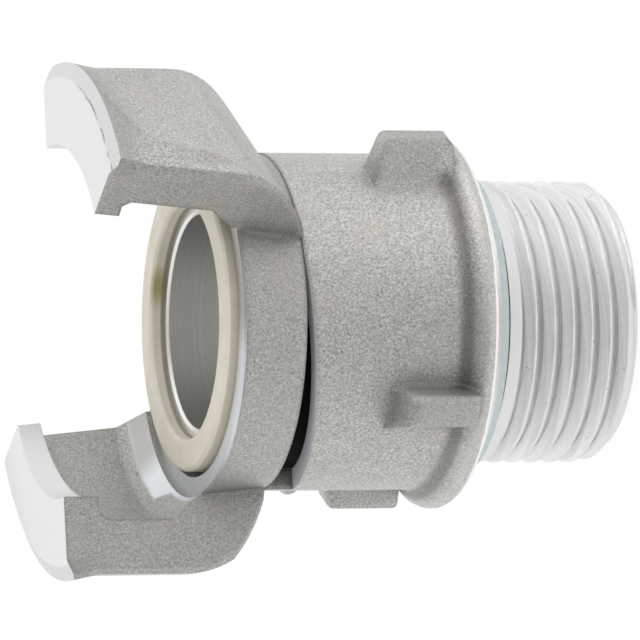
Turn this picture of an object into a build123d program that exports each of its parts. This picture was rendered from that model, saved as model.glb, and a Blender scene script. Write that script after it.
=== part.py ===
"""Half of a symmetrical quarter turn hose coupling, with a locking ring and a male pipe thread.

The coupling stands on its threaded end. Z is the axis of the bore, with the origin in the middle
of the threaded end face, and the two hooks stand up on the +Y and -Y sides. Lengths are in mm.
"""
from build123d import *
from math import atan2, cos, degrees, hypot, radians, sin, tan
import os

# Bore and male pipe thread, which is drawn as a plain cylinder of the thread's outside size
bore_d = 25.0
thread_d = 33.25
thread_end_d = 30.3
thread_zone = 14.6
thread_chamfer_len = 1.7
edge_break = 0.3

# Steps up the axis, each one turned on the body
collar_len = 2.2
groove_width = 1.1
neck_top = 41.9
disc_thickness = 7.7

# Diameters of the ring groove, the neck and the disc
groove_floor_d = 32.4
neck_d = 34.4
disc_rear_d = 39.2
disc_face_d = 40.6

# Seat for the face seal, with a thin tube that the seal sits around
seal_depth = 4.0
seal_proud = 1.1
seal_width = 3.75
seal_edge = 0.35
seat_tube_wall = 1.2
seat_tube_drop = 0.6
seal_outer_clearance = 0.65

# Section of a hook: lip, arm and throat
hook_reach = 16.6
hook_outer_r = 30.0
lip_flare_out = 0.6
arm_inner_r = 23.1
lip_inner_r = 20.45
lip_thickness = 4.2
lip_end_thickness = 2.8
lip_corner = 0.9
lip_bevel_in = 2.2
lip_bevel_len = 0.95
lip_flare_len = 4.1
throat_rise = 3.6

# Heel: the soft rear outline of a hook, which is carried straight across it
heel_centre_up = 14.8
root_in = 2.3
back_in = 2.3
back_rise = 4.8
back_lean_out = 0.8
heel_turn = -4.0

# A hook seen along the axis: its lip's width, and how far one end leans
lip_angle = 63.5
end_lean = 6.6
hook_edge = 0.6

# Locking ring: barrel, rear flange and ramp
ring_bore_clearance = 0.05
ring_front_clearance = 0.15
ring_len = 23.5
barrel_r = 19.75
flange_r = 22.0
flange_edge_r = 1.6
flange_fillet_r = 1.2
flange_middle_up = 2.25
flange_fillet_up = 5.35
flange_side_in = 1.25
flange_bevel = 1.45
flange_bevel_len = 1.2
ramp_rise = 3.4
ramp_angle = 104.0
ramp_start = 44.5

# Spanner lugs on the locking ring
lug_count = 4
lug_tip_r = 24.3
lug_root_angle = 17.0
lug_tip_angle = 8.0
lug_rear_up = 3.3
lug_len = 9.75
lug_nose_len = 1.4
lug_edge_r = 1.1

# Small cast pip on the barrel
pip_r = 1.3
pip_proud = 0.65
pip_height = 19.0
pip_at = -75.0

# Retaining ring: a split spring ring of flat section
spring_ring_thickness = 1.0
spring_ring_d = 36.0
spring_ring_gap = 3.5
spring_ring_gap_at = 200.0

# Places that follow from the driving sizes
groove_low = thread_zone + collar_len
groove_top = groove_low + groove_width
disc_face = neck_top + disc_thickness
hook_top = disc_face + hook_reach
bore_r = bore_d / 2
thread_r = thread_d / 2
neck_r = neck_d / 2
groove_floor_r = groove_floor_d / 2
disc_rear_r = disc_rear_d / 2
disc_face_r = disc_face_d / 2
arm_outer_r = hook_outer_r - lip_flare_out
lip_land_r = hook_outer_r - lip_bevel_in
seat_tube_r = bore_r + seat_tube_wall
seat_tube_top = disc_face - seat_tube_drop
seat_floor = disc_face - seal_depth
seal_outer_r = seat_tube_r + seal_width
seat_outer_r = seal_outer_r + seal_outer_clearance
ring_top = neck_top - ring_front_clearance
ring_low = ring_top - ring_len
ring_bore_r = neck_r + ring_bore_clearance
weld_in = 0.8
below_neck = 1.1

# The heel's round starts a little inside the disc's edge and ends upright at the middle of the arm's back
root_out = disc_rear_r - root_in
back_out = arm_outer_r - back_in
heel_width = back_out - root_out
heel_r = (heel_centre_up**2 + heel_width**2) / (2 * heel_width)
heel_centre_out = back_out - heel_r
heel_centre_z = neck_top + heel_centre_up
root_slope = atan2(root_out - heel_centre_out, heel_centre_up)


def revolved(outline, start_angle=0.0, angle=360.0):
    """Turn an outline of radius and height about the axis, anticlockwise from an angle."""
    face = Plane.XZ * make_face(outline)
    return Rot(0, 0, start_angle) * revolve(face, axis=Axis.Z, revolution_arc=angle)


def turned_body():
    """Thread, collar, ring groove, neck, disc and seal seat, as turned about the axis."""
    outline = Polyline(
        (bore_r + edge_break, 0),
        (thread_end_d / 2, 0),
        (thread_r, thread_chamfer_len),
        (thread_r, groove_low),
        (groove_floor_r, groove_low),
        (groove_floor_r, groove_top),
        (neck_r, groove_top),
        (neck_r, neck_top),
        (disc_rear_r, neck_top),
        (disc_face_r, disc_face - edge_break),
        (disc_face_r - edge_break, disc_face),
        (seat_outer_r, disc_face),
        (seat_outer_r, seat_floor),
        (seat_tube_r, seat_floor),
        (seat_tube_r, seat_tube_top),
        (bore_r + edge_break, seat_tube_top),
        (bore_r, seat_tube_top - edge_break),
        (bore_r, edge_break),
        close=True,
    )
    return revolved(outline)


def polar(r, angle):
    """A point at a radius and an angle in degrees."""
    return (r * cos(radians(angle)), r * sin(radians(angle)))


def hook_blank(start_angle, angle):
    """A hook's lip and arm as a full sector, before the heel and the throat are cut."""
    inside_r = disc_rear_r - weld_in
    low = neck_top - below_neck
    corner_r = arm_outer_r - inside_r
    corner_z = low + corner_r
    out, down = polar(corner_r, 45)
    outline = [
        ThreePointArc((inside_r, low), (inside_r + out, corner_z - down), (arm_outer_r, corner_z)),
        Polyline(
            (arm_outer_r, corner_z),
            (arm_outer_r, hook_top - lip_flare_len),
            (hook_outer_r, hook_top - lip_bevel_len),
            (lip_land_r, hook_top),
            (inside_r, hook_top),
            (inside_r, low),
        ),
    ]
    return revolved(outline, start_angle, angle)


def heel_block():
    """All that lies ahead of the hook's soft rear outline, carried straight across the +Y hook."""
    low = neck_top - 4 * below_neck
    inside = root_out - 4 * below_neck / tan(root_slope)
    half_way_out, half_way_up = polar(heel_r, -45 + degrees(root_slope) / 2)
    past_top = hook_top + 1
    outline = [
        Line((inside, low), (root_out, neck_top)),
        ThreePointArc(
            (root_out, neck_top),
            (heel_centre_out + half_way_out, heel_centre_z + half_way_up),
            (back_out, heel_centre_z),
        ),
        Polyline(
            (back_out, heel_centre_z),
            (back_out + back_lean_out, heel_centre_z + back_rise),
            (hook_outer_r + edge_break, hook_top - lip_bevel_len),
            (hook_outer_r + edge_break, past_top),
            (inside, past_top),
            (inside, low),
        ),
    ]
    block = extrude(Plane.YZ * make_face(outline), amount=hook_outer_r, both=True)
    return Rot(0, 0, heel_turn) * block


def throat():
    """The hollow inside both hooks. Its roof slopes, so that each lip grows thinner to one end."""
    outline = Polyline(
        (0, disc_face),
        (disc_face_r - edge_break, disc_face),
        (arm_inner_r, disc_face + throat_rise),
        (arm_inner_r, hook_top),
        (0, hook_top),
        close=True,
    )
    half_width = (arm_inner_r - lip_corner) * sin(radians(lip_angle / 2))
    slope = (lip_thickness - lip_end_thickness) / (2 * half_width)
    roof_z = hook_top - (lip_thickness + lip_end_thickness) / 2
    roof = Plane(origin=(0, 0, roof_z), z_dir=(-slope, 0, 1))
    hollow = split(revolved(outline), bisect_by=roof, keep=Keep.BOTTOM)
    hollow = chamfer(hollow.edges().group_by(Axis.Z)[-1], lip_corner)
    mouth = Pos(0, 0, disc_face) * Cylinder(
        lip_inner_r, hook_reach, align=(Align.CENTER, Align.CENTER, Align.MIN)
    )
    return hollow + mouth


def is_cast_edge(edge):
    """Whether an edge of a hook's end face lies outside and behind the machined front bevel."""
    middle = edge.center()
    return hypot(middle.X, middle.Y) > disc_rear_r and middle.Z < hook_top - lip_bevel_len


def hook():
    """The +Y hook. One end stands square, and the other leans out towards the disc."""
    leaning_end = 90 - lip_angle / 2
    past_lean = 2 * end_lean
    blank = hook_blank(leaning_end - past_lean, lip_angle + past_lean) & heel_block()
    lean = radians(end_lean)
    lip_end = radians(leaning_end)
    outward = (sin(lip_end) * cos(lean), -cos(lip_end) * cos(lean), sin(lean))
    end_face = Plane(origin=(0, 0, hook_top), z_dir=outward)
    blank = split(blank, bisect_by=end_face, keep=Keep.BOTTOM)
    by_side = blank.faces().filter_by(GeomType.PLANE).sort_by(Axis.X)
    ends = by_side[0].edges() + by_side[-1].edges()
    blank = chamfer(ends.filter_by(is_cast_edge), hook_edge)
    return split(blank, bisect_by=Plane.XY.offset(neck_top), keep=Keep.TOP) - throat()


def hook_body():
    """The body casting: the turned part with two hooks, half a turn apart."""
    one_hook = hook()
    return turned_body() + one_hook + Rot(0, 0, 180) * one_hook


def flange_outline():
    """Outline of the flange from its rear bevel up to the barrel, its rounds drawn in short steps."""
    middle_r = flange_r - flange_edge_r
    middle_z = ring_low + flange_middle_up
    bevel_r = flange_r - flange_side_in
    points = [(bevel_r - flange_bevel, ring_low), (bevel_r, ring_low + flange_bevel_len)]
    for angle in (-40, -12, 12, 38, 66):
        out, up = polar(flange_edge_r, angle)
        points.append((middle_r + out, middle_z + up))
    for angle in (66, 33, 0):
        out, up = polar(flange_fillet_r, angle)
        points.append((barrel_r + flange_fillet_r - out, ring_low + flange_fillet_up - up))
    return points


def ring_section():
    """Locking ring without lugs or ramp: a barrel with a flange at its rear."""
    outline = Polyline(
        (ring_bore_r, ring_low),
        *flange_outline(),
        (barrel_r, ring_top),
        (ring_bore_r, ring_top),
        close=True,
    )
    return revolved(outline)


def ramp_cutter():
    """What is milled off the ring's front: a helical ramp over a part turn."""
    lead = ramp_rise * 360 / ramp_angle
    start = (0, 0, ring_top - ramp_rise)
    inner = Helix(pitch=lead, height=ramp_rise, radius=ring_bore_r - weld_in, center=start)
    outer = Helix(pitch=lead, height=ramp_rise, radius=barrel_r + weld_in, center=start)
    ramp_face = Face.make_surface_from_curves(inner.edge(), outer.edge())
    return extrude(ramp_face, amount=ramp_rise + weld_in, dir=(0, 0, 1))


def lug():
    """One spanner lug by the +Y side, with one steep flank, one sloping flank and a sloping nose."""
    root_r = barrel_r - weld_in
    rear = ring_low + lug_rear_up
    section = Polyline(
        (0, root_r),
        polar(root_r, 90 - lug_root_angle),
        polar(barrel_r, 90 - lug_root_angle),
        polar(lug_tip_r, 90 - lug_tip_angle),
        (0, lug_tip_r),
        close=True,
    )
    block = Pos(0, 0, rear) * extrude(make_face(section), amount=lug_len)
    nose = Plane(
        origin=(0, barrel_r, rear + lug_len),
        z_dir=(0, lug_nose_len, lug_tip_r - barrel_r),
    )
    block = split(block, bisect_by=nose, keep=Keep.BOTTOM)
    rounded = block.edges().filter_by(lambda edge: edge.center().Y > (barrel_r + lug_tip_r) / 2)
    return fillet(rounded, lug_edge_r)


def locking_ring():
    """The ring casting with its lugs, its two ramps and its pip."""
    ring = ring_section()
    for number in range(lug_count):
        ring += Rot(0, 0, number * 360 / lug_count) * lug()
    for number in range(2):
        ring -= Rot(0, 0, ramp_start - ramp_angle + number * 180) * ramp_cutter()
    pip_centre = (barrel_r - pip_r + pip_proud, 0, pip_height + ring_low)
    ring += Rot(0, 0, pip_at) * Pos(*pip_centre) * Sphere(pip_r)
    return ring


def face_seal():
    """The rubber seal, which rests on the seat's floor and stands proud of the disc."""
    height = seal_depth + seal_proud
    blank = Pos(0, 0, seat_floor) * Cylinder(
        seal_outer_r, height, align=(Align.CENTER, Align.CENTER, Align.MIN)
    )
    blank -= Pos(0, 0, seat_floor) * Cylinder(
        seat_tube_r, height, align=(Align.CENTER, Align.CENTER, Align.MIN)
    )
    return chamfer(blank.edges().group_by(Axis.Z)[-1], seal_edge)


def retaining_ring():
    """The split spring ring. It grips its groove's floor, against the wall next to the locking ring."""
    middle = groove_top - spring_ring_thickness / 2
    ring = Pos(0, 0, middle) * Cylinder(spring_ring_d / 2, spring_ring_thickness)
    ring -= Pos(0, 0, middle) * Cylinder(groove_floor_r, spring_ring_thickness)
    gap = Pos(groove_floor_r, 0, middle) * Box(
        spring_ring_d - 2 * groove_floor_r + 2, spring_ring_gap, spring_ring_thickness
    )
    return ring - Rot(0, 0, spring_ring_gap_at) * gap


os.makedirs("parts", exist_ok=True)
export_step(hook_body(), "parts/hook_body.step")
export_step(locking_ring(), "parts/locking_ring.step")
export_step(face_seal(), "parts/face_seal.step")
export_step(retaining_ring(), "parts/retaining_ring.step")
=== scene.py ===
from math import atan2, cos, hypot, pi, radians, sin

import bpy
from mathutils import Matrix, Vector, noise


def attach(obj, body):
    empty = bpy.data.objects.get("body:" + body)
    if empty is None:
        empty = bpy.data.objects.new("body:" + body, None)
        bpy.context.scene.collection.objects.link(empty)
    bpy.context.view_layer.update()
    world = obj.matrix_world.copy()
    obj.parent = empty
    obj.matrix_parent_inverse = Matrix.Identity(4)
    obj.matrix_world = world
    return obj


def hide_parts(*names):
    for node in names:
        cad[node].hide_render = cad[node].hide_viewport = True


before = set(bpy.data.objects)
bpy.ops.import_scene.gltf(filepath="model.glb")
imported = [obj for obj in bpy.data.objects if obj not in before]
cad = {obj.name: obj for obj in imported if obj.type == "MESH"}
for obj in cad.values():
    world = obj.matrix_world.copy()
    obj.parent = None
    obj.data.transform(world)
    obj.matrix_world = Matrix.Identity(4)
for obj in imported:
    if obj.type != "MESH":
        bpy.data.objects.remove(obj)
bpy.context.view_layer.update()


# The body casting: disc, hooks, neck and pipe thread in one piece of aluminium. It is cast and
# shot-blasted, and then turned on the bore, the seat, the faces and lips of the hooks and the
# thread. The thread is one right-hand helix, cut after the collar was turned.

def select_none():
    bpy.ops.object.select_all(action="DESELECT")


def select_only(piece):
    select_none()
    piece.select_set(True)
    bpy.context.view_layer.objects.active = piece


same_point = 2e-6


def welded_copy(node, name):
    """A casting's mesh as one skin, so that light runs smoothly over its rounds."""
    mesh = cad[node].data.copy()
    mesh.materials.clear()
    piece = bpy.data.objects.new(name, mesh)
    bpy.context.scene.collection.objects.link(piece)
    select_only(piece)
    bpy.ops.object.mode_set(mode="EDIT")
    bpy.ops.mesh.select_all(action="SELECT")
    bpy.ops.mesh.remove_doubles(threshold=same_point)
    bpy.ops.mesh.customdata_custom_splitnormals_clear()
    bpy.ops.object.mode_set(mode="OBJECT")
    return piece


def cut_off_below(piece, height):
    select_only(piece)
    bpy.ops.object.mode_set(mode="EDIT")
    bpy.ops.mesh.select_all(action="SELECT")
    bpy.ops.mesh.bisect(
        plane_co=(0, 0, height), plane_no=(0, 0, 1), clear_inner=True, threshold=1e-7
    )
    bpy.ops.mesh.select_all(action="DESELECT")
    bpy.ops.object.mode_set(mode="OBJECT")


# Sizes in metres, the thread's start and run-out in turns, and its crest and flank in half turns
thread_r = 0.016625
thread_end_r = 0.01515
thread_top = 0.0149
thread_chamfer = 0.0017
thread_pitch = 0.002309
thread_depth = 0.00130
thread_start = 0.384
thread_run_out = 0.3
crest_share = 0.13
flank_share = 0.79
crest_wear = 0.04
wear_round, wear_along = 3, 900
bore_r = 0.0125
bore_edge = 0.0003


def threaded_tube(top, rings, segments):
    """The lower end as a lathe-turned blank: one ring of points drawn down, in and up the bore."""
    bpy.ops.mesh.primitive_circle_add(vertices=segments, radius=thread_r, location=(0, 0, top))
    tube = bpy.context.object
    tube.name = "thread_blank"
    bpy.ops.object.transform_apply(location=True, rotation=False, scale=False)
    bpy.ops.object.mode_set(mode="EDIT")
    bpy.ops.mesh.select_all(action="SELECT")
    for _ in range(rings):
        bpy.ops.mesh.extrude_region_move(TRANSFORM_OT_translate={"value": (0, 0, -top / rings)})
    draw_ring(0, (bore_r + bore_edge) / thread_r)
    draw_ring(bore_edge, bore_r / (bore_r + bore_edge))
    draw_ring(top - bore_edge, 1)
    bpy.ops.mesh.select_all(action="DESELECT")
    bpy.ops.object.mode_set(mode="OBJECT")
    return tube


def draw_ring(rise, shrink):
    bpy.ops.mesh.extrude_region_move(TRANSFORM_OT_translate={"value": (0, 0, rise)})
    bpy.ops.transform.resize(value=(shrink, shrink, 1))


def thread_cut(angle, height):
    """How deep the wall lies under the crest: a worn crest, straight flanks and a narrow root."""
    turn = (height / thread_pitch - angle / (2 * pi) + thread_start) % 1.0
    from_crest = min(turn, 1 - turn) * 2
    flank = min(max((from_crest - crest_share) / flank_share, 0.0), 1.0)
    run_out = min(max((thread_top - height) / (thread_run_out * thread_pitch), 0.0), 1.0)
    patch = Vector((cos(angle) * wear_round, sin(angle) * wear_round, height * wear_along))
    worn = crest_wear * noise.noise(patch)
    return thread_depth * (flank + worn * (1 - flank)) * run_out


def cut_thread(tube):
    """Lowers each point of the outer wall to the thread's flank, within the end chamfer."""
    for vertex in tube.data.vertices:
        x, y, z = vertex.co
        if hypot(x, y) < thread_r - same_point or z > thread_top:
            continue
        angle = atan2(y, x)
        chamfer_r = thread_end_r + (thread_r - thread_end_r) * min(z / thread_chamfer, 1.0)
        cut_r = min(thread_r - max(thread_cut(angle, z), 0.0), chamfer_r)
        vertex.co.x, vertex.co.y = cut_r * cos(angle), cut_r * sin(angle)


# The casting is cut off at its collar, and the threaded tube takes the place of its lower end
collar_cut = 0.0160
seam = 0.0001
bore_wall, collar_wall = (0.012, 0.013), (0.016, 0.017)
body_crease = radians(32)

body = welded_copy("hook_body", "body_casting")
cut_off_below(body, collar_cut)
select_none()
tube = threaded_tube(collar_cut - seam, rings=150, segments=200)
cut_thread(tube)
select_only(body)
tube.select_set(True)
bpy.ops.object.join()
bpy.ops.object.mode_set(mode="EDIT")
for inner, outer in (bore_wall, collar_wall):
    bpy.ops.mesh.select_all(action="DESELECT")
    bpy.ops.object.mode_set(mode="OBJECT")
    for edge in body.data.edges:
        ends = [body.data.vertices[i].co for i in edge.vertices]
        edge.select = all(
            abs(end.z - collar_cut) < 1.5 * seam and inner < hypot(end.x, end.y) < outer
            for end in ends
        )
    bpy.ops.object.mode_set(mode="EDIT")
    bpy.ops.mesh.select_mode(type="EDGE")
    bpy.ops.mesh.bridge_edge_loops()
bpy.ops.mesh.select_all(action="SELECT")
bpy.ops.mesh.normals_make_consistent(inside=False)
bpy.ops.mesh.select_all(action="DESELECT")
bpy.ops.object.mode_set(mode="OBJECT")
select_only(body)
bpy.ops.object.shade_smooth_by_angle(angle=body_crease)


def feed(tree, value, socket):
    """Gives a socket another node's output, or a plain value."""
    if isinstance(value, bpy.types.NodeSocket):
        tree.links.new(value, socket)
    else:
        socket.default_value = value


class Finish:
    """A node material under construction, on Object coordinates: x, y, z and the radius."""

    def __init__(self, name):
        self.material = bpy.data.materials.new(name)
        self.material.use_nodes = True
        self.tree = self.material.node_tree
        self.shader = self.tree.nodes["Principled BSDF"]
        whereabouts = self.tree.nodes.new("ShaderNodeTexCoord").outputs
        self.place = whereabouts["Object"]
        x, y, z = self.parts(self.place)
        squares = self.maths("ADD", self.both(x, x), self.both(y, y))
        self.spot = x, y, z, self.maths("SQRT", squares)
        self.facing = self.parts(whereabouts["Normal"])

    def link(self, value, socket):
        feed(self.tree, value, socket)

    def maths(self, operation, first, second=0.0):
        node = self.tree.nodes.new("ShaderNodeMath")
        node.operation = operation
        for value, socket in zip((first, second), node.inputs):
            self.link(value, socket)
        return node.outputs[0]

    def step(self, value, low, high):
        """0 below low and 1 above high, or the other way round where low is the higher."""
        node = self.tree.nodes.new("ShaderNodeMapRange")
        node.interpolation_type = "SMOOTHSTEP"
        self.link(value, node.inputs["Value"])
        flipped = low > high
        node.inputs["From Min"].default_value = high if flipped else low
        node.inputs["From Max"].default_value = low if flipped else high
        node.inputs["To Min"].default_value = 1.0 if flipped else 0.0
        node.inputs["To Max"].default_value = 0.0 if flipped else 1.0
        return node.outputs["Result"]

    def above(self, value, edge, blur=0.0001):
        """1 above an edge, which is blurred by this much to either side, and 0 below it."""
        return self.step(value, edge - blur, edge + blur)

    def below(self, value, edge, blur=0.0001):
        return self.step(value, edge + blur, edge - blur)

    def both(self, *masks):
        out = masks[0]
        for mask in masks[1:]:
            out = self.maths("MULTIPLY", out, mask)
        return out

    def either(self, *masks):
        out = masks[0]
        for mask in masks[1:]:
            out = self.maths("MAXIMUM", out, mask)
        return out

    def parts(self, vector):
        split = self.tree.nodes.new("ShaderNodeSeparateXYZ")
        self.link(vector, split.inputs[0])
        return split.outputs

    def faces_up(self):
        return self.above(self.facing[2], 0.30, blur=0.05)

    def faces_axis(self):
        """1 where the surface looks in towards the bore's axis."""
        x, y, _, r = self.spot
        outward = self.maths("ADD", self.both(x, self.facing[0]), self.both(y, self.facing[1]))
        return self.below(self.maths("DIVIDE", outward, r), -0.675, blur=0.075)

    def grain(self, size, detail=2.0, roughness=0.5):
        """Noise whose features are about this size in metres."""
        node = self.tree.nodes.new("ShaderNodeTexNoise")
        self.link(self.place, node.inputs["Vector"])
        node.inputs["Scale"].default_value = 1 / size
        node.inputs["Detail"].default_value = detail
        node.inputs["Roughness"].default_value = roughness
        return node.outputs["Fac"]

    def rings(self, along, size, detail=2.0):
        """Turning marks: noise that only changes along one value, such as height."""
        node = self.tree.nodes.new("ShaderNodeTexNoise")
        node.noise_dimensions = "1D"
        self.link(self.maths("MULTIPLY", along, 1 / size), node.inputs["W"])
        node.inputs["Scale"].default_value = 1.0
        node.inputs["Detail"].default_value = detail
        return node.outputs["Fac"]

    def wander(self, width):
        """How far the edge of a cut strays from its line on a rough casting."""
        return self.both(self.maths("SUBTRACT", self.grain(0.0015), 0.5), width)

    def tone(self, value, low, high):
        """Colours from a value: (position, colour) at the low end and at the high end."""
        node = self.tree.nodes.new("ShaderNodeValToRGB")
        for element, (at, colour) in zip(node.color_ramp.elements, (low, high)):
            element.position, element.color = at, (*colour, 1)
        self.link(value, node.inputs["Fac"])
        return node.outputs["Color"]

    def mix(self, mask, first, second):
        node = self.tree.nodes.new("ShaderNodeMix")
        node.data_type = "RGBA"
        self.link(mask, node.inputs[0])
        for value, socket in ((first, node.inputs[6]), (second, node.inputs[7])):
            self.link((*value, 1) if isinstance(value, tuple) else value, socket)
        return node.outputs[2]

    def layered(self, colour, *layers):
        """A colour under thin layers, each with its mask, its strength and its own colour."""
        for mask, strength, tint in layers:
            colour = self.mix(self.both(mask, strength), colour, tint)
        return colour

    def blend(self, mask, first, second):
        """A number between two numbers or values."""
        rest = self.maths("SUBTRACT", 1, mask)
        return self.maths("ADD", self.both(rest, first), self.both(mask, second))

    def bump(self, height, distance, normal):
        node = self.tree.nodes.new("ShaderNodeBump")
        node.inputs["Distance"].default_value = distance
        self.link(height, node.inputs["Height"])
        self.link(normal, node.inputs["Normal"])
        return node.outputs["Normal"]

    def soft_edges(self, radius):
        node = self.tree.nodes.new("ShaderNodeBevel")
        node.samples = 4
        self.link(radius, node.inputs["Radius"])
        return node.outputs["Normal"]

    def hollows(self, reach):
        """1 in corners and hollows, where painted shade darkens a casting, and 0 on open faces."""
        node = self.tree.nodes.new("ShaderNodeAmbientOcclusion")
        node.samples = 4
        node.inputs["Distance"].default_value = reach
        return self.step(node.outputs["AO"], 0.95, 0.35)

    def done(self, colour, roughness, normal, metallic=1.0):
        self.link(colour, self.shader.inputs["Base Color"])
        self.link(roughness, self.shader.inputs["Roughness"])
        self.link(normal, self.shader.inputs["Normal"])
        self.link(metallic, self.shader.inputs["Metallic"])
        return self.material


# Both aluminium castings, as blasted and as turned
# The first colour is the skin's own dark tone, and also the colour of painted shade on both
# castings
dark_skin_and_shade, blasted_speck = (0.33, 0.325, 0.305), (0.78, 0.775, 0.755)
dull_mottle, pale_cloud, warm_oxide = (0.40, 0.395, 0.375), (0.66, 0.65, 0.625), (0.62, 0.56, 0.48)
# The second colour here is painted shade, laid in the castings' hollows
dark_pit, hollow_shade = (0.16, 0.155, 0.145), (0.15, 0.15, 0.14)
fine_mark, broad_mark, scuffed = (0.80, 0.80, 0.80), (0.85, 0.85, 0.85), (0.71, 0.71, 0.70)
blast_depth, turning_share = 0.00009, 0.03
cast_round, machined_round = 0.0007, 0.00015


def blasted(finish):
    """Colour, roughness and relief of shot-blasted cast aluminium."""
    speckle = finish.grain(0.00026, detail=4.0, roughness=0.75)
    mottle = finish.step(finish.grain(0.0013), 0.52, 0.75)
    cloud = finish.step(finish.grain(0.011), 0.42, 0.68)
    warmth = finish.step(finish.grain(0.007, detail=3.0), 0.52, 0.66)
    pits = finish.step(finish.grain(0.0011, detail=1.0), 0.76, 0.80)
    colour = finish.layered(
        finish.tone(speckle, (0.35, dark_skin_and_shade), (0.65, blasted_speck)),
        (mottle, 0.35, dull_mottle),
        (cloud, 0.20, pale_cloud),
        (warmth, 0.22, warm_oxide),
        (pits, 0.60, dark_pit),
        # painted shade, darker in corners and hollows
        (finish.hollows(reach=0.0036), 0.70, hollow_shade),
    )
    return colour, finish.step(speckle, 1.6, -0.9), speckle


def turned(finish):
    """The same for a turned face, with fine marks that run round the axis."""
    _, _, z, r = finish.spot
    marks = finish.rings(finish.maths("ADD", r, z), 0.00030, detail=3.0)
    scuffs = finish.step(finish.grain(0.0012, detail=3.0, roughness=0.6), 0.60, 0.72)
    colour = finish.layered(
        finish.tone(marks, (0.25, fine_mark), (0.75, broad_mark)), (scuffs, 0.25, scuffed)
    )
    return colour, finish.step(marks, -1.6, 3.2), finish.both(marks, turning_share)


# Where the cutter went on the body: heights above the threaded end, and radii from the axis
pipe_z, tube_rim_z, face_foot_z, face_top_z = 0.01685, 0.0486, 0.0491, 0.05225
cone_foot_z, cone_top_z, lip_foot_z, land_z = 0.0493, 0.05205, 0.0601, 0.0643
reamed_r, tube_rim_r, face_r, seat_r = 0.01259, 0.0144, 0.0177, 0.018375
lip_r, cone_r, burr_inner_r, land_bevel_r, burr_outer_r = 0.02075, 0.0224, 0.02826, 0.0283, 0.02848
square_end_from, square_end_to, short_from, short_to = 0.00016, 0.00006, -0.00001, -0.00005
short_by = 0.0015


def machined_zones(finish, wander):
    """Masks of all that the cutter reached, of the hooks' lands and of their square ends."""
    x, y, z, r = finish.spot
    upward = finish.faces_up()
    lands = finish.both(upward, finish.above(z, land_z))
    lips = finish.both(finish.below(r, lip_r, 0.00005), finish.above(z, lip_foot_z),
                       finish.faces_axis())

    # The cutter that faced the disc ran out on the throat, and stopped short of the square end of
    # each hook. On the disc's face, painted shade darkens the other end of each hook, and the
    # square end is bright. x times y tells the ends apart
    along_hook = finish.both(x, y)
    square_ends = finish.step(along_hook, square_end_from, square_end_to)
    cut_short = finish.both(finish.step(along_hook, short_from, short_to), short_by)
    reached = finish.maths("ADD", finish.maths("ADD", z, wander), cut_short)
    cones = finish.both(upward, finish.below(reached, cone_top_z, 0.00025),
                        finish.above(z, cone_foot_z), finish.below(r, cone_r))

    seat = finish.both(finish.below(r, seat_r, 0.000025), finish.above(z, pipe_z, 0.00005))
    pipe = finish.below(z, pipe_z, 0.00005)
    return finish.either(lands, lips, cones, seat, pipe), lands, square_ends


disc_edge_z, arm_r = 0.0495, 0.0275
rim_grey, throat_grey, arm_grey, end_grey = 0.28, 0.30, 0.45, 0.24


def darkened_cast(finish, colour):
    """Painted shade darkens the disc's rim, the throats and the hooks' ends towards the skin's dark
    grey, and a band on the arms behind the lands is darkened as well.
    """
    _, _, z, r = finish.spot
    sideways = finish.above(finish.maths("ABSOLUTE", finish.facing[0]), 0.71, 0.05)
    rims = finish.below(z, disc_edge_z, 0.0005)
    arms = finish.both(finish.step(z, lip_foot_z + 0.0004, land_z + 0.0005),
                       finish.above(r, arm_r, 0.0005))
    ends = finish.both(sideways, finish.above(z, disc_edge_z, 0.0005))
    darkened = finish.either(
        finish.both(rims, rim_grey), finish.both(finish.faces_axis(), throat_grey),
        finish.both(arms, arm_grey), finish.both(ends, end_grey),
    )
    return finish.mix(darkened, colour, dark_skin_and_shade)


bevel_grey, burr_dark = (0.60, 0.61, 0.60), (0.20, 0.195, 0.18)
# The first colour is painted shade on the disc's face
face_shade_dull, cut_bright = (0.46, 0.45, 0.43), (0.77, 0.80, 0.83)


def hook_faces(finish, colour, lands, square_ends, wander):
    """The lands end in a duller bevel, with a ragged burr where the two cuts meet. The disc's face
    is duller than the lands, and painted shade darkens it at the end of each hook away from the
    square end."""
    x, y, z, r = finish.spot
    edge_r = finish.maths("ADD", r, wander)
    bevels = finish.both(lands, finish.above(edge_r, land_bevel_r))
    burr_line = finish.both(finish.above(edge_r, burr_inner_r, 0.00004),
                            finish.below(edge_r, burr_outer_r, 0.00004))
    upper_hook = finish.both(finish.above(y, 0.0, 0.001), finish.above(x, 0.002, 0.008))
    burr = finish.both(lands, burr_line, upper_hook, finish.step(finish.grain(0.0030), 0.40, 0.58))
    face = finish.both(finish.below(z, face_top_z, 0.00025), finish.above(z, face_foot_z),
                       finish.above(r, face_r))
    return finish.layered(
        colour,
        (bevels, 0.45, bevel_grey),
        (burr, 1.0, burr_dark),
        # painted shade on the disc's face, away from each hook's square end
        (face, 0.9, finish.mix(square_ends, face_shade_dull, cut_bright)),
    )


reamed, streaked, polished = (0.92, 0.92, 0.89), (1.0, 1.0, 0.98), (0.90, 0.90, 0.88)


def reamed_bore(finish, colour):
    """The bore is reamed smooth, and its rim polished by the couplings that went through."""
    _, _, z, r = finish.spot
    bore = finish.both(finish.below(r, reamed_r, 0.00003), finish.above(z, 0.00025, 0.00015))
    rim = finish.both(finish.below(r, tube_rim_r), finish.above(z, tube_rim_z, 0.0002))
    streaks = finish.step(finish.rings(z, 0.0005, detail=3.0), 0.50, 0.62)
    colour = finish.layered(
        colour, (bore, 0.8, finish.mix(streaks, reamed, streaked)), (rim, 1.0, polished)
    )
    return colour, finish.either(bore, rim)


wall_r, root_r = 0.0149, 0.015425
tool_groove, tool_ridge = (0.81, 0.81, 0.80), (0.96, 0.96, 0.96)
# The first colour here is painted shade for the thread's roots
root_shade, dark_nick = (0.22, 0.21, 0.20), (0.14, 0.135, 0.13)


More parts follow.
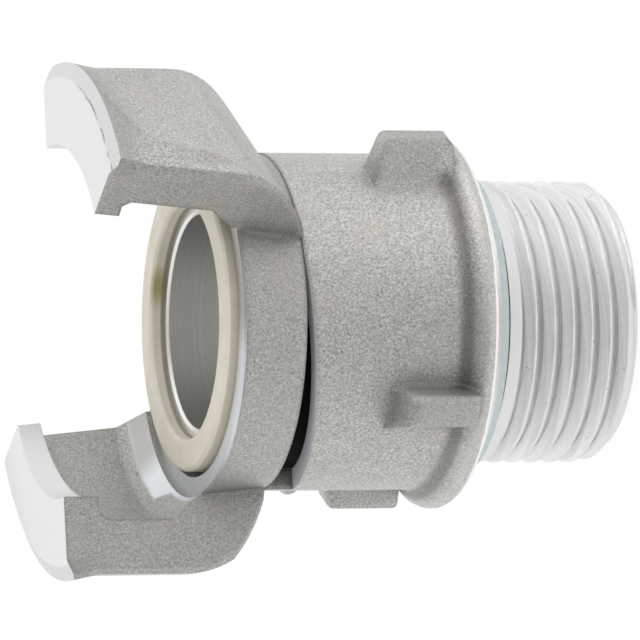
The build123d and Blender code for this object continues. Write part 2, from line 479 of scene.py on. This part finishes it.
def used_thread(finish, colour):
    """Painted shade darkens the thread's roots, and its crests have nicks."""
    _, _, z, r = finish.spot
    threads = finish.both(finish.above(r, wall_r), finish.below(z, thread_top + 0.00005, 0.00015),
                          finish.above(z, thread_chamfer, 0.0002))
    roots = finish.both(threads, finish.below(r, root_r, 0.000055))
    nicks = finish.both(threads, finish.step(finish.grain(0.0007), 0.71, 0.77))
    tool_lines = finish.tone(finish.rings(finish.maths("ADD", r, z), 0.00022),
                             (0.35, tool_groove), (0.62, tool_ridge))
    colour = finish.layered(
        colour,
        (threads, 0.8, tool_lines),
        # painted shade in the thread's roots
        (roots, 0.45, root_shade),
        (nicks, 0.8, dark_nick),
    )
    return colour, threads


# A painted shadow, near black, lies on the collar against the retaining ring, and painted shade
# darkens the neck where the locking ring turns
ring_gap_shadow, neck_shade = (0.03, 0.03, 0.03), (0.012, 0.012, 0.010)
gap_shadow_foot_z, gap_shadow_top_z, gap_shadow_r = 0.01626, 0.0180, 0.01605
neck_foot_z, neck_top_z, neck_inner_r, neck_outer_r = 0.0179, 0.0421, 0.0167, 0.0177
reamed_roughness, thread_roughness, neck_roughness = 0.33, 0.54, 0.7


def body_finish():
    finish = Finish("blasted_and_turned_body")
    wander = finish.wander(0.0004)
    machined, lands, square_ends = machined_zones(finish, wander)
    cast, cast_roughness, cast_relief = blasted(finish)
    cast = darkened_cast(finish, cast)
    bright, bright_roughness, bright_relief = turned(finish)
    bright = hook_faces(finish, bright, lands, square_ends, wander)
    bright, smooth = reamed_bore(finish, bright)
    bright, threads = used_thread(finish, bright)
    bright_roughness = finish.blend(smooth, bright_roughness, reamed_roughness)
    bright_roughness = finish.blend(threads, bright_roughness, thread_roughness)

    _, _, z, r = finish.spot
    # painted shadow on the collar against the retaining ring, and painted shade on the neck
    gap_shadow = finish.both(finish.above(z, gap_shadow_foot_z, 0.00004), finish.below(z, gap_shadow_top_z),
                       finish.above(r, gap_shadow_r, 0.00005))
    neck = finish.both(finish.above(z, neck_foot_z), finish.below(z, neck_top_z),
                       finish.below(r, neck_outer_r), finish.above(r, neck_inner_r))
    bright = finish.mix(gap_shadow, bright, ring_gap_shadow)
    colour = finish.mix(neck, finish.mix(machined, cast, bright), neck_shade)
    roughness = finish.blend(machined, cast_roughness, bright_roughness)
    roughness = finish.blend(neck, roughness, neck_roughness)

    relief = finish.blend(machined, cast_relief, bright_relief)
    soft = finish.soft_edges(finish.blend(machined, cast_round, machined_round))
    return finish.done(colour, roughness, finish.bump(relief, blast_depth, soft))


body.data.materials.append(body_finish())
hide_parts("hook_body")
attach(body, "body")


# The locking ring, a second aluminium casting that turns on the body's neck. It is blasted like
# the body, and bored and faced at its rear edge, where a narrow bevel was left bright.

rear_bevel_z, ramps_z, ring_bore_r = 0.0199, 0.0379, 0.017375
flange_top_z, feet_z, sides_z, lugs_z = 0.02205, 0.0234, 0.0234, 0.0240
barrel_r, side_r, foot_r, tip_r = 0.020025, 0.02045, 0.0212, 0.0235
flange_edge_z, flange_edge_r = 0.02145, 0.0211
faced_ramp, bright_bevel = (0.78, 0.81, 0.82), (1.0, 0.995, 0.97)
# The first colour is painted shade at the lugs' feet
lug_foot_shade, pale_flange_edge = (0.14, 0.135, 0.125), (0.84, 0.83, 0.80)
side_grey, tip_grey = 0.22, 0.32
faced_roughness, faced_metallic = 0.9, 0.1
lug_round = 0.0015
ring_crease = radians(35)


def ring_finish():
    finish = Finish("blasted_and_turned_ring")
    _, _, z, r = finish.spot
    rear = finish.below(finish.maths("ADD", z, finish.wander(0.0003)), rear_bevel_z, 0.00005)
    ramps = finish.both(finish.faces_up(), finish.above(z, ramps_z))
    machined = finish.either(rear, finish.below(r, ring_bore_r, 0.000025), ramps)
    bright, bright_roughness, bright_relief = turned(finish)
    bright = finish.layered(bright, (ramps, 1.0, faced_ramp), (rear, 1.0, bright_bevel))
    bright_roughness = finish.blend(ramps, bright_roughness, faced_roughness)

    # Painted shade darkens the corner at the lugs' feet and the lugs' sides and tips, and the
    # flange's edge is made paler
    cast, cast_roughness, cast_relief = blasted(finish)
    feet = finish.both(finish.below(z, feet_z, 0.0006), finish.above(z, flange_top_z, 0.00045),
                       finish.below(r, foot_r, 0.0005))
    sides = finish.both(finish.above(r, side_r, 0.00035), finish.above(z, sides_z, 0.0004))
    tips = finish.above(r, tip_r, 0.0003)
    flange_band = finish.both(finish.above(r, flange_edge_r, 0.0003),
                         finish.below(z, flange_edge_z, 0.00035))
    darkened = finish.either(finish.both(sides, side_grey), finish.both(tips, tip_grey))
    cast = finish.layered(
        cast,
        (feet, 0.60, lug_foot_shade),
        (darkened, 1.0, dark_skin_and_shade),
        (flange_band, 0.28, pale_flange_edge),
    )

    lugs = finish.both(finish.above(r, barrel_r, 0.000175), finish.above(z, lugs_z, 0.0004))
    softness = finish.blend(machined, finish.blend(lugs, cast_round, lug_round), machined_round)
    relief = finish.blend(machined, cast_relief, bright_relief)
    return finish.done(
        finish.mix(machined, cast, bright),
        finish.blend(machined, cast_roughness, bright_roughness),
        finish.bump(relief, blast_depth, finish.soft_edges(softness)),
        metallic=finish.blend(ramps, 1.0, faced_metallic),
    )


locking_ring = welded_copy("locking_ring", "ring_casting")
bpy.ops.object.shade_smooth_by_angle(angle=ring_crease)
locking_ring.data.materials.append(ring_finish())
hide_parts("locking_ring")
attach(locking_ring, "ring")


# The face seal, moulded in cream rubber and pushed over the thin tube inside the seat. Painted
# shade turns its outer edge tan and darkens its inner side along the tube, and there is a faint
# olive stain.

shaded_cream, cream = (0.79, 0.74, 0.60), (0.88, 0.83, 0.71)
# The first and last colours here are painted shade on the seal's sides
shaded_side_tan, olive, tube_side_shade = (0.50, 0.46, 0.35), (0.42, 0.36, 0.12), (0.22, 0.20, 0.16)
stain_middle = (-0.0140, -0.0008, 0.0499)
outer_edge_r, stained_r, inner_shade_r, inner_shade_z = 0.017425, 0.01395, 0.013925, 0.0494


def cream_rubber():
    finish = Finish("cream_rubber")
    _, _, z, r = finish.spot
    clouds = finish.grain(0.004, detail=3.0)
    skin = finish.grain(0.0005)
    away = finish.tree.nodes.new("ShaderNodeVectorMath")
    away.operation = "DISTANCE"
    finish.link(finish.place, away.inputs[0])
    finish.link(stain_middle, away.inputs[1])
    outer_side = finish.above(r, outer_edge_r, 0.000075)
    stain = finish.both(finish.below(away.outputs["Value"], 0.0020, 0.0016),
                        finish.step(clouds, 0.3, 0.5), finish.below(r, stained_r, 0.00025))
    inner_shade = finish.both(finish.below(r, inner_shade_r, 0.000075), finish.below(z, inner_shade_z, 0.00015))
    # painted shade on the outer edge and along the tube
    colour = finish.layered(
        finish.tone(clouds, (0.3, shaded_cream), (0.7, cream)),
        (outer_side, 0.45, shaded_side_tan),
        (stain, 0.85, olive),
        (inner_shade, 0.8, tube_side_shade),
    )
    normal = finish.bump(skin, 0.00003, finish.soft_edges(0.0004))
    return finish.done(colour, finish.step(skin, -1.4, 2.2), normal, metallic=0.0)


face_seal = cad["face_seal"]
face_seal.data.materials.clear()
face_seal.data.materials.append(cream_rubber())


# The retaining ring, a split ring of flat spring steel, sprung into its groove behind the
# locking ring. Its zinc plating has a pale blue cast.

dull_zinc, pale_zinc = (0.50, 0.58, 0.59), (0.62, 0.70, 0.71)


def blue_zinc():
    finish = Finish("blue_zinc")
    marks = finish.grain(0.0012, detail=3.0)
    colour = finish.tone(marks, (0.3, dull_zinc), (0.7, pale_zinc))
    normal = finish.bump(marks, 0.00002, finish.soft_edges(0.0001))
    return finish.done(colour, finish.step(marks, -0.7, 2.4), normal)


retaining_ring = cad["retaining_ring"]
retaining_ring.data.materials.clear()
retaining_ring.data.materials.append(blue_zinc())


# The studio: a white sweep that the coupling stands on, with its threaded end down. In the
# photograph it lies on its side, so the picture's top is level here and its left is up.

picture_turn, camera_tilt = radians(21.5), radians(18.08)
upwards = Vector((0, 0, 1))
towards_viewer = Vector((cos(picture_turn), sin(picture_turn), 0))
picture_up = Vector((-sin(picture_turn), cos(picture_turn), 0))
view_back = sin(camera_tilt) * upwards + cos(camera_tilt) * towards_viewer
picture_right = picture_up.cross(view_back)
middle = Vector((0, 0, 0.034))


def dimmed_towards(tree, coordinates, direction, start, end, least):
    """A strength of 1 that fades to its least as the coordinates reach out in a direction."""
    place = tree.nodes.new("ShaderNodeTexCoord")
    reach = tree.nodes.new("ShaderNodeVectorMath")
    reach.operation = "DOT_PRODUCT"
    reach.inputs[1].default_value = direction
    fade = tree.nodes.new("ShaderNodeMapRange")
    fade.interpolation_type = "SMOOTHSTEP"
    for name, value in (("From Min", start), ("From Max", end), ("To Min", 1.0), ("To Max", least)):
        fade.inputs[name].default_value = value
    tree.links.new(place.outputs[coordinates], reach.inputs[0])
    tree.links.new(reach.outputs["Value"], fade.inputs["Value"])
    return fade.outputs["Result"]


def by_ray(tree, kind, these, others):
    """One strength for light rays of a kind, and another for all others."""
    choice = tree.nodes.new("ShaderNodeMix")
    rays = tree.nodes.new("ShaderNodeLightPath")
    feed(tree, rays.outputs[kind], choice.inputs[0])
    feed(tree, others, choice.inputs[2])
    feed(tree, these, choice.inputs[3])
    return choice.outputs[0]


# The paper glows white for the camera and in mirrored light, and takes shadow for the rest. What
# the metal mirrors of it fades towards the viewer, as the photograph's thread shows
floor_size, floor_z = 6, -0.00002
paper_grey, glow_share, white_level = (0.86, 0.86, 0.86, 1), 0.86, 1.06

bpy.ops.mesh.primitive_plane_add(size=floor_size, location=(0, 0, floor_z))
floor = bpy.context.object
floor.name = "studio_floor"
paper = bpy.data.materials.new("white_paper")
paper.use_nodes = True
tree = paper.node_tree
mirrored_floor = dimmed_towards(
    tree, "Object", towards_viewer, start=0.03, end=0.40, least=0.50
)
glow = tree.nodes.new("ShaderNodeEmission")
glow_strength = by_ray(tree, "Is Camera Ray", these=white_level, others=mirrored_floor)
feed(tree, glow_strength, glow.inputs["Strength"])
diffuse = tree.nodes.new("ShaderNodeBsdfDiffuse")
diffuse.inputs["Color"].default_value = paper_grey
rays = tree.nodes.new("ShaderNodeLightPath")
seen_or_mirrored = tree.nodes.new("ShaderNodeMath")
seen_or_mirrored.operation = "MAXIMUM"
share = tree.nodes.new("ShaderNodeMath")
share.operation = "MULTIPLY"
share.inputs[1].default_value = glow_share
mixed = tree.nodes.new("ShaderNodeMixShader")
tree.links.new(rays.outputs["Is Camera Ray"], seen_or_mirrored.inputs[0])
tree.links.new(rays.outputs["Is Glossy Ray"], seen_or_mirrored.inputs[1])
tree.links.new(seen_or_mirrored.outputs[0], share.inputs[0])
tree.links.new(share.outputs[0], mixed.inputs[0])
tree.links.new(diffuse.outputs[0], mixed.inputs[1])
tree.links.new(glow.outputs[0], mixed.inputs[2])
tree.links.new(mixed.outputs[0], tree.nodes["Material Output"].inputs["Surface"])
floor.data.materials.append(paper)

# The room is white too, a little less so for diffuse light, and darker where the camera stands
room_level, diffuse_level = 1.0, 0.75
dark_corner = (towards_viewer * 0.82 + upwards * 0.57).normalized()

world = bpy.data.worlds.new("studio")
world.use_nodes = True
bpy.context.scene.world = world
sky = world.node_tree
room = sky.nodes["Background"]
room.inputs["Color"].default_value = (1, 1, 1, 1)
mirrored_room = dimmed_towards(
    sky, "Generated", dark_corner, start=0.20, end=1.0, least=0.28
)
unseen_level = by_ray(sky, "Is Glossy Ray", these=mirrored_room, others=diffuse_level)
level = by_ray(sky, "Is Camera Ray", these=room_level, others=unseen_level)
feed(sky, level, room.inputs["Strength"])

softbox_distance, softbox_size = 0.6, 0.45


def softbox(name, direction, power):
    """A square area lamp that faces the middle of the coupling."""
    lamp = bpy.data.lights.new(name, "AREA")
    lamp.shape, lamp.size, lamp.energy = "SQUARE", softbox_size, power
    holder = bpy.data.objects.new(name, lamp)
    holder.location = middle + direction.normalized() * softbox_distance
    holder.rotation_euler = direction.to_track_quat("Z", "Y").to_euler()
    bpy.context.scene.collection.objects.link(holder)


softbox("top_softbox", picture_up + view_back * 0.45 + upwards * 0.35, power=0.8)
softbox("left_softbox", upwards + view_back * 0.25 - picture_up * 0.25, power=0.15)

camera_distance, camera_rise = 0.7612, 0.000205

camera = bpy.data.cameras.new("camera")
camera.sensor_fit, camera.sensor_width = "HORIZONTAL", 36.0
camera.lens = 365.6
camera.dof.use_dof = False
stand = bpy.data.objects.new("camera", camera)
bpy.context.scene.collection.objects.link(stand)
turned_to_part = Matrix((picture_right, picture_up, view_back)).transposed().to_4x4()
stand.matrix_world = Matrix.Translation(
    middle + picture_up * camera_rise + view_back * camera_distance
) @ turned_to_part
bpy.context.scene.camera = stand
bpy.context.scene.view_settings.view_transform = "Standard"

bpy.context.view_layer.update()
